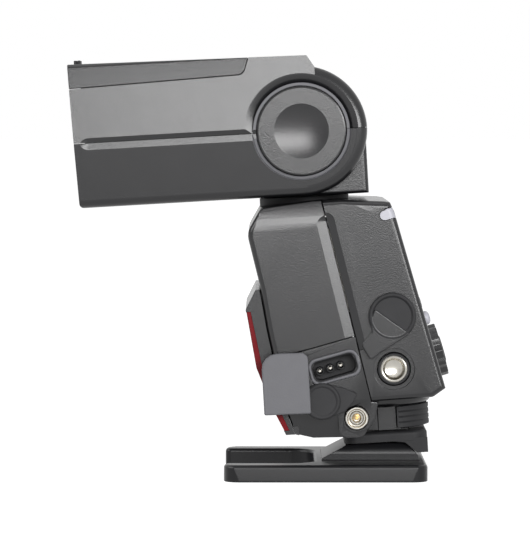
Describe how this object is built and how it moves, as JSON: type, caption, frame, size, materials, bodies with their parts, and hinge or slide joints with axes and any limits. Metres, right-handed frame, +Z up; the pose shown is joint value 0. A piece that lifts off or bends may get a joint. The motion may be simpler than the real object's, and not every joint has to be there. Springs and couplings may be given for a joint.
{
  "type": "hot-shoe flash unit",
  "caption": "Camera flash with a tilting, turning zoom head on a body with rear controls, side sockets under rubber covers and a locking foot, standing on a small horseshoe table stand.",
  "frame": {"origin": "on the surface the stand rests on, under the middle of the flash's foot", "axes": "-X is the way the head points, +Y is away from the side with the sockets, +Z is up"},
  "size_m": [0.1262, 0.0778, 0.1395],
  "materials": {
    "black_abs": "fine moulded texture, satin",
    "soft_rubber": "matt moulded rubber",
    "grey_rubber": "matt moulded rubber",
    "gloss_black": "polished black",
    "red_window": "deep red translucent",
    "pale_plastic": "pale grey satin",
    "clear_plastic": "clear acrylic",
    "white_plastic": "white satin",
    "circuit_board": "solder resist",
    "bright_steel": "nickel plated",
    "mirror_aluminium": "polished",
    "brass": "turned",
    "cell_jacket": "printed wrapper left plain"
  },
  "bodies": {
    "stand": {"stand": "gloss_black", "tripod_bush": "brass"},
    "housing": {"front_shell": "black_abs", "rear_shell": "black_abs", "rear_trim_strip": "pale_plastic", "base_housing": "black_abs", "focus_assist_window": "red_window", "focus_assist_lamp": "clear_plastic", "battery_cell_1": "cell_jacket", "battery_cell_2": "cell_jacket", "battery_cell_3": "cell_jacket", "battery_cell_4": "cell_jacket", "battery_contact_plate": "bright_steel", "main_capacitor": "gloss_black", "screen_window": "clear_plastic", "display_module": "white_plastic", "control_board": "circuit_board", "power_socket": "gloss_black", "socket_pins": "bright_steel", "sync_terminal": "bright_steel", "sync_pin": "brass", "bracket_bush": "bright_steel", "foot_block": "black_abs", "foot_plate": "bright_steel", "foot_contacts": "brass", "weather_skirt": "soft_rubber", "swivel_washer": "soft_rubber"},
    "turret": {"neck": "black_abs", "tilt_axle": "bright_steel", "swivel_ring": "bright_steel"},
    "head": {"head_upper_shell": "black_abs", "head_lower_shell": "black_abs", "head_top_cover": "black_abs", "front_lens": "clear_plastic", "hub_cap": "black_abs", "zoom_guide_near": "bright_steel", "zoom_guide_far": "bright_steel", "zoom_motor": "bright_steel"},
    "tilt_button": {"tilt_button": "black_abs"},
    "zoom_unit": {"zoom_carriage": "black_abs", "reflector": "mirror_aluminium", "flash_tube": "clear_plastic"},
    "zoom_screw": {"zoom_screw": "bright_steel"},
    "wide_panel": {"wide_panel": "clear_plastic"},
    "bounce_card": {"bounce_card": "white_plastic"},
    "select_dial": {"select_dial": "black_abs"},
    "set_button": {"set_button": "soft_rubber"},
    "test_button": {"test_button": "white_plastic"},
    "power_switch": {"power_switch": "black_abs"},
    "lock_lever": {"lock_lever": "soft_rubber"},
    "lock_pin": {"lock_pin": "bright_steel"},
    "battery_door": {"battery_door": "black_abs", "door_contact_plate": "bright_steel"},
    "socket_flap": {"socket_flap": "grey_rubber"},
    "sync_cap": {"sync_cap": "soft_rubber"},
    "bracket_cap": {"bracket_cap": "soft_rubber"},
    "function_key_1": {"function_key_1": "soft_rubber"},
    "function_key_2": {"function_key_2": "soft_rubber"},
    "function_key_3": {"function_key_3": "soft_rubber"},
    "function_key_4": {"function_key_4": "soft_rubber"}
  },
  "joints": [
    {"name": "foot_slide", "type": "slide", "parent": "stand", "child": "housing", "axis": [0.9983, 0, 0.0576], "range_m": [0, 0.03]},
    {"name": "head_swivel", "type": "hinge", "parent": "housing", "child": "turret", "pos_m": [-0.0285, 0, 0.11494], "axis": [-0.0576, 0, 0.9983], "range_deg": [-180, 180]},
    {"name": "head_tilt", "type": "hinge", "parent": "turret", "child": "head", "pos_m": [-0.0285, 0, 0.11494], "axis": [0, 1, 0], "range_deg": [-7, 90]},
    {"name": "tilt_release", "type": "slide", "parent": "head", "child": "tilt_button", "axis": [0, 1, 0], "range_m": [0, 0.0018], "stiffness_N_per_m": 800, "springref_m": -0.001},
    {"name": "zoom_slide", "type": "slide", "parent": "head", "child": "zoom_unit", "axis": [-0.9983, 0, -0.0576], "range_m": [0, 0.013]},
    {"name": "zoom_screw_turn", "type": "hinge", "parent": "head", "child": "zoom_screw", "pos_m": [-0.0631, 0, 0.09917], "axis": [0.9983, 0, 0.0576], "range_deg": [0, 940]},
    {"name": "wide_panel_slide", "type": "slide", "parent": "head", "child": "wide_panel", "axis": [-0.9983, 0, -0.0576], "range_m": [0, 0.04]},
    {"name": "bounce_card_slide", "type": "slide", "parent": "head", "child": "bounce_card", "axis": [-0.9983, 0, -0.0576], "range_m": [0, 0.04]},
    {"name": "dial_turn", "type": "hinge", "parent": "housing", "child": "select_dial", "pos_m": [0.01581, 0, 0.04074], "axis": [0.9598, 0, 0.2807], "continuous": true},
    {"name": "set_press", "type": "slide", "parent": "housing", "child": "set_button", "axis": [-0.9598, 0, -0.2807], "range_m": [0, 0.0006], "stiffness_N_per_m": 1200, "springref_m": -0.0003},
    {"name": "test_press", "type": "slide", "parent": "housing", "child": "test_button", "axis": [-0.9598, 0, -0.2807], "range_m": [0, 0.0006], "stiffness_N_per_m": 1200, "springref_m": -0.0003},
    {"name": "power_turn", "type": "hinge", "parent": "housing", "child": "power_switch", "pos_m": [0.01485, 0.022, 0.04401], "axis": [0.9598, 0, 0.2807], "range_deg": [0, 60]},
    {"name": "lever_slide", "type": "slide", "parent": "housing", "child": "lock_lever", "axis": [0, 1, 0], "range_m": [0, 0.011]},
    {"name": "pin_lift", "type": "slide", "parent": "housing", "child": "lock_pin", "axis": [-0.0576, 0, 0.9983], "range_m": [0, 0.002]},
    {"name": "door_swing", "type": "hinge", "parent": "housing", "child": "battery_door", "pos_m": [-0.03906, 0.0356, 0.05217], "axis": [-0.0576, 0, 0.9983], "range_deg": [0, 110]},
    {"name": "flap_swing", "type": "hinge", "parent": "housing", "child": "socket_flap", "pos_m": [-0.02492, -0.04, 0.02329], "axis": [-0.0576, 0, 0.9983], "range_deg": [0, 175]},
    {"name": "sync_cap_swing", "type": "hinge", "parent": "housing", "child": "sync_cap", "pos_m": [-0.01381, -0.0354, 0.02864], "axis": [0, -1, 0], "range_deg": [0, 103]},
    {"name": "bracket_cap_swing", "type": "hinge", "parent": "housing", "child": "bracket_cap", "pos_m": [-0.00819, -0.0354, 0.04579], "axis": [0, 1, 0], "range_deg": [0, 84]},
    {"name": "key_1_press", "type": "slide", "parent": "housing", "child": "function_key_1", "axis": [-0.9598, 0, -0.2807], "range_m": [0, 0.0006], "stiffness_N_per_m": 1200, "springref_m": -0.0003},
    {"name": "key_2_press", "type": "slide", "parent": "housing", "child": "function_key_2", "axis": [-0.9598, 0, -0.2807], "range_m": [0, 0.0006], "stiffness_N_per_m": 1200, "springref_m": -0.0003},
    {"name": "key_3_press", "type": "slide", "parent": "housing", "child": "function_key_3", "axis": [-0.9598, 0, -0.2807], "range_m": [0, 0.0006], "stiffness_N_per_m": 1200, "springref_m": -0.0003},
    {"name": "key_4_press", "type": "slide", "parent": "housing", "child": "function_key_4", "axis": [-0.9598, 0, -0.2807], "range_m": [0, 0.0006], "stiffness_N_per_m": 1200, "springref_m": -0.0003}
  ],
  "couplings": [
    {"joint": "zoom_screw_turn", "follows": "zoom_slide", "rad_per_m": 1256.6},
    {"joint": "pin_lift", "follows": "lever_slide", "ratio": 0.18182}
  ]
}
